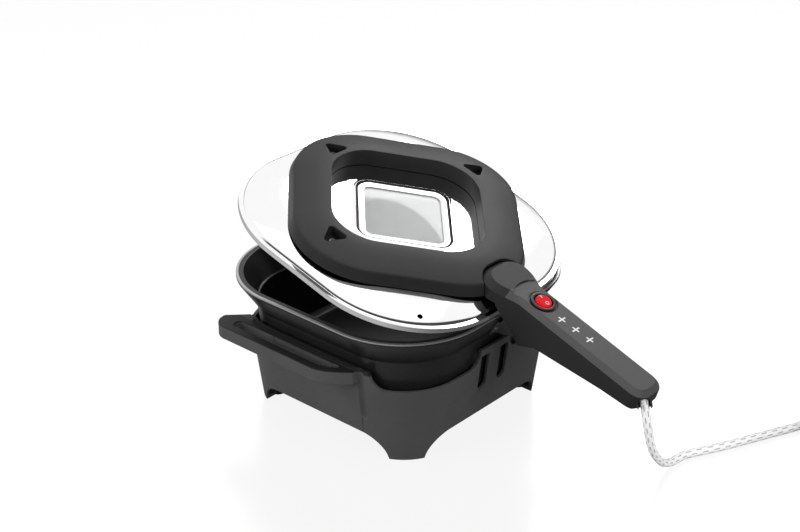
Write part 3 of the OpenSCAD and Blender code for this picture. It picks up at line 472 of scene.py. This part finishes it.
def soft_lamp(name, place, size, watts, sides=None, fill=False):
    """A square area lamp that looks at the lid, or that lies along two given sides."""
    bpy.ops.object.light_add(type="AREA", location=place)
    lamp = bpy.context.object
    lamp.name = name
    lamp.data.shape, lamp.data.size, lamp.data.energy = "SQUARE", size, watts
    turn = (lamps_aim - lamp.location).to_track_quat("-Z", "Y")
    if sides:
        x, y = (Vector(side).normalized() for side in sides)
        turn = Matrix((x, y, x.cross(y))).transposed().to_quaternion()
    lamp.rotation_euler = turn.to_euler()
    lamp.visible_glossy = not fill
    return lamp


soft_lamp("ceiling_lamp", (0.1, 0.1, 2.0), 1.8, 6)
window_lamp = soft_lamp("window_lamp", (-0.674, 1.898, 1.619), 1.0, 14,
                        sides=((0.983, 0.151, -0.087), (-0.17, 0.926, -0.339)))
soft_lamp("left_fill", (-0.9, -1.8, 0.9), 1.2, 44, fill=True)
soft_lamp("right_fill", (2.0, -0.3, 0.9), 1.2, 34, fill=True)

# %% [markdown]
# The bright reflection in the pane ends in a round edge. A round white card hangs in front of
# the window lamp for that; only mirrors and the pane's gloss see it.

# %% Card in front of the window lamp
card_r, card_at = 0.165, (-0.574, 1.427, 1.769)
bpy.ops.mesh.primitive_circle_add(vertices=96, radius=card_r, fill_type="NGON", location=card_at,
                                  rotation=window_lamp.rotation_euler)
card = bpy.context.object
card.name = "round_card"
card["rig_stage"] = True
for rays in ("camera", "diffuse", "transmission", "shadow"):
    setattr(card, "visible_" + rays, False)
card_white = bpy.data.materials.new("card_white")
tree = cleared(card_white)
surface_of(tree, "ShaderNodeOutputMaterial", Wire(tree.nodes.new("ShaderNodeEmission").outputs[0]))
card.data.materials.append(card_white)
print("card", [round(v, 3) for v in card.location])

# %% [markdown]
# Each finish is one material, made in two steps: new_finish() opens it and returns the
# coordinates that its patterns are laid out on, and finish_with() links the patterns to the
# shader's sockets and sets the constant ones.

# %% Finishes
finishes = {}


def new_finish(slot, coords="Object"):
    """A new material for a slot; returns its coordinates as a wire."""
    material = bpy.data.materials.new(slot)
    tree = cleared(material)
    body = tree.nodes.new("ShaderNodeBsdfPrincipled")
    surface_of(tree, "ShaderNodeOutputMaterial", Wire(body.outputs[0]))
    finishes[slot] = material
    return coordinates(tree, coords)


def finish_with(slot, links, **constants):
    """Link wires to the shader's sockets, and set its constant sockets."""
    tree = finishes[slot].node_tree
    body = next(n for n in tree.nodes if n.type == "BSDF_PRINCIPLED")
    for name, wire in links.items():
        tree.links.new(wire.socket, body.inputs[name])
    for name, value in constants.items():
        body.inputs[name.replace("_", " ")].default_value = value
    print("finish", slot, len(tree.nodes), "nodes")


# %% [markdown]
# The handle tilts with the lid. Marks on it are laid out in the lid's own frame, in
# millimetres, which is turned about the hinge pin by the lid's tilt at rest.

# %% Frame of the lid
hinge_x, hinge_z, hinge_over_lid = 144.99, 143.4, 7.5
lid_tilt = math.radians(16.3)
handle_slope = 0.056


def on_the_lid(place):
    """Millimetres along, across and above the lid, in the lid's own tilted frame."""
    x, y, z = place.parts()
    ahead, up = x * 1000 - hinge_x, z * 1000 - hinge_z
    return (ahead * math.cos(lid_tilt) - up * math.sin(lid_tilt) + hinge_x, y * 1000,
            ahead * math.sin(lid_tilt) + up * math.cos(lid_tilt) + hinge_over_lid)


def over_handle(along, above):
    """A height that is level on the handle's sloping top."""
    return above + along * handle_slope


print("hinge", hinge_x, hinge_z, "tilt", round(lid_tilt, 4))

# %% [markdown]
# The stand and the handle are charcoal mouldings out of a spark-eroded tool. Its fine
# grain breaks up the gloss, so a fine noise drives the bump and the roughness, and slow
# clouds keep the big walls from looking painted. The handle's top shell is paler than the
# ring and the lower shell, partly as a paler moulding and partly as painted light on the
# top and painted shade on the sides, and three pale crosses are printed on it. The flat
# tops of the grips are darkened as painted shade under the pan and the lid.

# %% Charcoal mouldings
shell_from, shell_level, print_level = 138, 25.5, 26.5
cross_middle, cross_step, crosses_reach = 202, 15, 22
cross_stroke, long_arm, short_arm = 0.75, 4.6, 3.6
row_offset, row_skew = 2, 0.067
grip_from, grip_top = 0.112, 0.0886


def printed_crosses(place):
    """A mask of three small crosses on the flat top of the handle."""
    along, across, above = on_the_lid(place)
    first = cross_middle - 1.5 * cross_step
    spot = abs((along - first) % cross_step - cross_step / 2)
    side = abs(across + row_offset - (along - cross_middle) * row_skew)
    arms = ((spot < cross_stroke) * (side < long_arm)).most(
        (spot < short_arm) * (side < cross_stroke))
    in_row = abs(along - cross_middle) < crosses_reach
    return arms * in_row * (over_handle(along, above) > print_level)


def handle_painted_light_and_print(place, shade):
    """The top shell is paler than the ring and the lower shell, partly as a paler moulding and
    partly as painted light on the top and painted shade on the sides; it is printed.
    """
    along, _, above = on_the_lid(place)
    top_shell = (along > shell_from) * (over_handle(along, above) > shell_level)
    # painted shade: the ring and the lower shell are darkened, and the top shell keeps the
    # moulding's tone
    shade = (0.74 - top_shell * 0.74).tint(shade, grey(0))
    return printed_crosses(place).tint(shade, grey(0.66))


def stand_painted_shade(place, shade):
    """Painted shade: the flat tops of the grips are darkened, for the shade and the dark
    reflections under the pan and the lid.
    """
    _, y, z = place.parts()
    return ((abs(y) > grip_from) * (z > grip_top) * 0.8).tint(shade, grey(0))


def moulding(slot, dark, light, gloss, shades):
    """A grained plastic; shades() paints light and shade, and print, into its colour in places."""
    place = new_finish(slot)
    clouds, grain = place.noise(45, 3), place.noise(0.55, 2)
    shade = (clouds * 0.6 + grain * 0.4).ramp((0.3, 0), (0.7, 1)).tint(dark, light)
    finish_with(slot, {
        "Base Color": shades(place, shade),
        "Roughness": (grain * 0.5 + clouds * 0.5).between(gloss - 0.1, gloss + 0.12),
        "Normal": place.bump(grain, 0.05)}, IOR=1.48, Specular_IOR_Level=0.32)


moulding("stand_plastic", (0.044, 0.044, 0.045), (0.062, 0.062, 0.063), 0.5, stand_painted_shade)
moulding("handle_plastic", (0.046, 0.046, 0.047), (0.062, 0.062, 0.063), 0.44, handle_painted_light_and_print)

# %% [markdown]
# The pan is cast aluminium under a sprayed satin coating. The spray leaves a soft orange
# peel with fine lighter specks. The rim's outer lip is turned bare and shows as a bright line.

# %% Pan coating
pan_straight, lip_from, lip_over = 48, 79.6, 129.2
place = new_finish("pan_coating")
peel, specks, clouds = place.noise(1.4, 1), place.noise(0.35, 0), place.noise(60, 2)
x, y, z = place.parts()
past_x, past_y = ((abs(v) * 1000 - pan_straight).most(0) for v in (x, y))
from_corner = (past_x ** 2 + past_y ** 2) ** 0.5
lip = (from_corner > lip_from) * (z * 1000 > lip_over)
coat = (specks.ramp((0.66, 0), (0.74, 1)) * 0.5 + clouds * 0.3).tint(
    (0.005, 0.005, 0.0052), (0.026, 0.026, 0.027))
finish_with("pan_coating", {
    "Base Color": lip.tint(coat, grey(0.5)), "Metallic": lip * 0.9,
    "Roughness": clouds.between(0.24, 0.36),
    "Normal": place.bump(peel, 0.06)}, IOR=1.5, Specular_IOR_Level=0.4)

# %% [markdown]
# The lid is steel that is polished like a mirror, with only a trace of haze. The inner sheet,
# the bracket, the heating tube, the screws and the brass leads are brushed or drawn in one
# direction. Brushing is noise that is stretched along x, with a shade for each metal.

# %% Metals
place = new_finish("lid_steel")
haze, wipes = place.noise(30, 3), place.noise(3, 2)
finish_with("lid_steel", {
    "Base Color": haze.tint((0.92, 0.92, 0.925), grey(0.97)),
    "Roughness": (haze * 0.7 + wipes * 0.3).between(0.03, 0.09)}, Metallic=1.0)


def brushed(slot, dark, light, low, high):
    """A metal with fine lines along x; low and high are its roughness."""
    place = new_finish(slot)
    x, y, z = place.parts()
    lines = place.joined(x * 0.03, y, z).noise(0.4, 2)
    clouds = place.noise(25, 2)
    finish_with(slot, {
        "Base Color": (lines * 0.6 + clouds * 0.4).tint(dark, light),
        "Roughness": (lines * 0.5 + clouds * 0.5).between(low, high),
        "Normal": place.bump(lines, 0.01)}, Metallic=1.0)


brushed("inner_steel", grey(0.42), grey(0.62), 0.2, 0.38)
brushed("bare_steel", grey(0.45), grey(0.65), 0.22, 0.36)
brushed("bracket_steel", (0.2, 0.2, 0.205), (0.34, 0.34, 0.345), 0.3, 0.45)
brushed("heater_tube", (0.05, 0.047, 0.044), (0.15, 0.13, 0.115), 0.35, 0.6)
brushed("lead_brass", (0.5, 0.34, 0.12), (0.68, 0.5, 0.22), 0.25, 0.4)

# %% [markdown]
# The window is a toughened pane with a light haze. Some of the light goes through and the
# rest is scattered, which gives the pale grey that the picture shows.

# %% Window pane
place = new_finish("window_glass")
haze = place.noise(18, 2)
finish_with("window_glass", {
    "Base Color": haze.tint((0.62, 0.63, 0.63), (0.7, 0.71, 0.71)),
    "Roughness": haze.between(0.01, 0.05)}, IOR=1.5, Transmission_Weight=0.4)

# %% [markdown]
# Rubber, the plug, the terminal block and the mineral mat are dull and slightly dusty. The
# switch is a glossy moulding that shows fine ripples. Its rocker is red, with a bar at its
# on end and a ring at its off end.

# %% Dull and glossy mouldings
bar_at, bar_half, bar_stroke = 158.8, 2, 0.5
ring_at, ring_r, ring_stroke = 167.2, 1.5, 0.3


def dull(slot, dark, light, low, high, size):
    """A matt stuff with grains of size millimetres; low and high are its roughness."""
    place = new_finish(slot)
    grain, dust = place.noise(size, 2), place.noise(12, 3)
    finish_with(slot, {
        "Base Color": (grain * 0.4 + dust * 0.6).tint(dark, light),
        "Roughness": dust.between(low, high),
        "Normal": place.bump(grain, 0.04)}, IOR=1.47)


def on_and_off(place):
    """A mask of the bar and the ring that mark the two ends of the rocker."""
    along, across, _ = on_the_lid(place)
    bar = (abs(along - bar_at) < bar_half) * (abs(across) < bar_stroke)
    from_ring = ((along - ring_at) ** 2 + across ** 2) ** 0.5
    return bar.most(abs(from_ring - ring_r) < ring_stroke)


def glossy(slot, dark, light, gloss, marks=None):
    """A shiny plastic; marks() is a mask of what is printed on it."""
    place = new_finish(slot)
    ripple, clouds = place.noise(2.5, 1), place.noise(8, 2)
    shade = clouds.tint(dark, light)
    if marks:
        shade = marks(place).tint(shade, (0.85, 0.6, 0.6))
    finish_with(slot, {
        "Base Color": shade,
        "Roughness": clouds.between(gloss, gloss + 0.12),
        "Normal": place.bump(ripple, 0.02)}, IOR=1.5, Specular_IOR_Level=0.25)


dull("foot_rubber", grey(0.012), grey(0.03), 0.6, 0.85, 0.5)
dull("seal_rubber", grey(0.008), grey(0.02), 0.5, 0.7, 0.5)
dull("plug_black", (0.012, 0.012, 0.0125), (0.028, 0.028, 0.029), 0.4, 0.6, 0.7)
dull("terminal_cream", (0.6, 0.55, 0.43), (0.78, 0.73, 0.6), 0.5, 0.7, 0.8)
dull("mineral_mat", (0.5, 0.48, 0.4), (0.66, 0.64, 0.56), 0.85, 0.98, 1.5)
glossy("switch_black", grey(0.006), grey(0.014), 0.1)
glossy("rocker_red", (0.56, 0.002, 0.004), (0.66, 0.004, 0.008), 0.3, on_and_off)

# %% [markdown]
# The cord's jacket is a white textile braid. Two sets of yarns cross at an angle, each one
# going over and under the other, and eight dark yarns show as rows of short dashes along it.

# %% Braid of the cord
yarn_count, dark_rows, dashes = 14, 8, 2.1
place = new_finish("cord_braid", "UV")
round_it, along, _ = place.parts()
left, right = (round_it + along) * yarn_count, (round_it - along) * yarn_count
bow_left = 1 - abs(left % 1 - 0.5) * 2
bow_right = 1 - abs(right % 1 - 0.5) * 2
over = ((left - left % 1 + right - right % 1) % 2) < 0.5
yarns = over * bow_left + (1 - over) * bow_right
row = round_it * dark_rows
stagger = (row - row % 1) % 2 * 0.5
dash = (abs(row % 1 - 0.5) < 0.17) * (((along * dashes + stagger) % 1) < 0.5)
fibres = place.noise(8, 2)
wool = (yarns * 0.5 + fibres * 0.5).tint((0.93, 0.93, 0.925), (0.99, 0.99, 0.985))
finish_with("cord_braid", {
    "Base Color": (dash * 0.7).tint(wool, (0.2, 0.2, 0.205)),
    "Roughness": yarns.between(0.95, 0.75),
    "Normal": place.bump(yarns, 0.3)}, Sheen_Weight=0.2)

# %% [markdown]
# The handle's end has a small arched mouth, in which the cord shows before it drops. A
# cylinder across the mouth is the arch; its lower half is pulled down along the cord, and
# the shape is cut out of the handle and of the rubber grommet.

# %% Cutter for the cord's mouth
arch_r, arch_depth, arch_over, arch_pull = 0.0052, 0.024, 0.004, 0.02
mouth_turn = math.radians(57)
cord_exit = Vector((0.2747, 0, 0.0935))
cord_way = (route[4] - route[0]).normalized()
out_way = Matrix.Rotation(mouth_turn, 3, cord_way) @ Vector((-cord_way.z, 0, cord_way.x))
arch_at = cord_exit - cord_way * arch_over + out_way * (arch_depth / 2)
bpy.ops.object.select_all(action="DESELECT")
bpy.ops.mesh.primitive_cylinder_add(vertices=40, radius=arch_r, depth=arch_depth, location=arch_at,
                                    rotation=out_way.to_track_quat("Z", "Y").to_euler())
mouth_cutter = bpy.context.object
bpy.ops.object.transform_apply(location=True, rotation=True, scale=True)
edit_mesh("DESELECT")
bpy.ops.object.mode_set(mode="OBJECT")
for corner in mouth_cutter.data.vertices:
    corner.select = (corner.co - arch_at).dot(cord_way) > 1e-5
bpy.ops.object.mode_set(mode="EDIT")
bpy.ops.mesh.select_mode(type="VERT")
bpy.ops.transform.translate(value=cord_way * arch_pull)
bpy.ops.object.mode_set(mode="OBJECT")
print("mouth cutter", len(mouth_cutter.data.polygons), "faces, out", [round(v, 2) for v in out_way])

# %% [markdown]
# Each solid that shows gets its soft edges here, with a radius that suits how it is made:
# large on cast and moulded pieces, small on sheet metal and turned parts. The stand's walls
# are split at three planes, because long thin faces shade unevenly.

# %% Pieces of the pan and the lid
record = frame["record"]
body_of_node = {n: b for b, members in record["behaviour"]["bodies"].items() for n in members}
slot_of_node = {s["node"]: s["material_slot"] for s in record["subparts"]}
shaped = {
    "stand_frame": ("stand_moulding", 0.7), "pan_body": ("pan_casting", 0.6),
    "hinge_bracket": ("hinge_lug", 0.4), "bracket_rivets": ("lug_rivets", 0.2),
    "hinge_pin": ("pivot_pin", 0.3), "lid_shell": ("lid_dome", 0), "lid_rim": ("lid_edge", 0.45),
    "inner_reflector": ("lid_inner_sheet", 0.2), "heating_element": ("heating_loop", 0),
    "element_clips": ("loop_clips", 0.2), "window_frame": ("window_bezel", 0.15),
    "window_seal": ("window_gasket", 0.2), "handle_ring": ("ring_moulding", 0.5),
    "ring_screws": ("ring_fixings", 0.2), "handle_lower": ("handle_underside", 0.6),
    "handle_cover": ("handle_top", 0.4), "handle_screws": ("handle_fixings", 0.2),
    "switch_housing": ("switch_bezel", 0.4), "switch_rocker": ("red_rocker", 0.4),
    "cord_gland": ("cord_grommet", 0.4), "foot_pads": ("rubber_feet", 0.4),
}
cutters = {"handle_lower": mouth_cutter, "cord_gland": mouth_cutter}
wall_splits = [((0, -0.023, 0), (0, 1, 0)), ((0, 0.023, 0), (0, 1, 0)), ((0, 0, 0.045), (0, 0, 1))]
for node, (name, edge) in shaped.items():
    piece = softened(name, node, edge, cutter=cutters.get(node),
                     splits=wall_splits if node == "stand_frame" else ())
    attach(piece, body_of_node[node])
    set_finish(piece, slot_of_node[node])

# %% [markdown]
# A rubber liner stands round the cord at the back and the sides of the mouth, so that the pale
# braid shows between dark edges. It is a short rod, less what the cutter takes away.

# %% Liner of the mouth
liner_r, liner_depth, liner_over = 0.0066, 0.0135, 0.003
bpy.ops.object.select_all(action="DESELECT")
bpy.ops.mesh.primitive_cylinder_add(vertices=48, radius=liner_r, depth=liner_depth,
                                    location=cord_exit - cord_way * liner_over,
                                    rotation=cord_way.to_track_quat("Z", "Y").to_euler())
liner = bpy.context.object
liner.name = liner.data.name = "cord_mouth_liner"
bpy.ops.object.transform_apply(location=True, rotation=True, scale=True)
cut_out(liner, mouth_cutter)
apply_modifier(liner, "BEVEL", width=0.0002, segments=2, limit_method="ANGLE",
               angle_limit=math.radians(40))
bpy.ops.object.shade_smooth_by_angle(angle=crease_angle)
bpy.data.objects.remove(mouth_cutter)
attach(liner, "lid")
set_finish(liner, "foot_rubber")
print("liner", len(liner.data.polygons), "faces")

# %% [markdown]
# Every piece wears the finish of its slot. Solids that nothing replaces, such as the mat and
# the terminal block, take the slot that the record gives to their node.

# %% Finishes on every piece
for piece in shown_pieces():
    slot = piece.get("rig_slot") or slot_of_node[piece["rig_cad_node"]]
    piece.data.materials.clear()
    piece.data.materials.append(finishes[slot])
